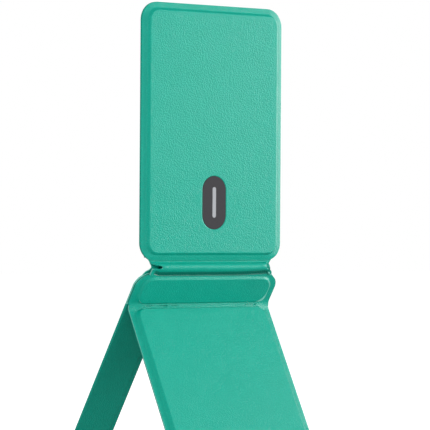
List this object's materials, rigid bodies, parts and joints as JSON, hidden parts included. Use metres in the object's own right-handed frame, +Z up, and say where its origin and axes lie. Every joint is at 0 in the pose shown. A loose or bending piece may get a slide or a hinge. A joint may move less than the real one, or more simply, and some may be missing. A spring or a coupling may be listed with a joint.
{
  "type": "magnetic phone wallet",
  "caption": "Grained leather magnetic phone wallet unfolded as a stand: upright magnet panel with a card pocket behind it, a folding front leg and forked rear legs",
  "frame": {"origin": "on the surface it stands on, at the centre of the footprint's bounding box", "axes": "+X to the stand's left-to-right width seen from the front, +Y to its back, +Z up"},
  "size_m": [0.061, 0.0846, 0.1712],
  "materials": {
    "front_leather": "fine grained, satin",
    "lining": "fine grained, matte",
    "board": "fibre board",
    "magnet": "nickel plated",
    "steel": "sheet steel",
    "grip_rubber": "smooth matte",
    "grip_line": "printed, matte"
  },
  "bodies": {
    "stand": {"shoulder_skin": "front_leather", "shoulder_board": "board", "rear_frame_lining": "lining", "rear_frame_board": "board", "rear_frame_back_skin": "front_leather", "rear_leg_magnets": "magnet", "neck_ridge_skin": "front_leather", "neck_back_strap": "lining", "leg_crease_skin": "front_leather"},
    "head": {"head_front_skin": "front_leather", "head_board": "board", "ring_magnets": "magnet", "ring_backing_plate": "steel", "alignment_magnet": "magnet", "grip_pad": "grip_rubber", "grip_pad_line": "grip_line", "head_closing_magnets": "magnet", "head_lining": "lining", "pocket_left_gusset": "lining", "pocket_right_gusset": "lining", "pocket_bottom_gusset": "lining", "pocket_wall": "front_leather"},
    "front_leg": {"front_leg_skin": "front_leather", "front_leg_board": "board", "front_leg_lining": "lining", "front_leg_magnets": "magnet"}
  },
  "joints": [
    {"name": "front_leg_fold", "type": "hinge", "parent": "stand", "child": "front_leg", "pos_m": [0, -0.00505, 0.0629], "axis": [1, 0, 0], "range_deg": [0, 66.4], "deforming": ["leg_crease_skin"]},
    {"name": "neck_tilt", "type": "hinge", "parent": "stand", "child": "head", "pos_m": [0, -0.01083, 0.07656], "axis": [1, 0, 0], "range_deg": [-144.4, 12], "deforming": ["neck_ridge_skin", "neck_back_strap"]}
  ]
}
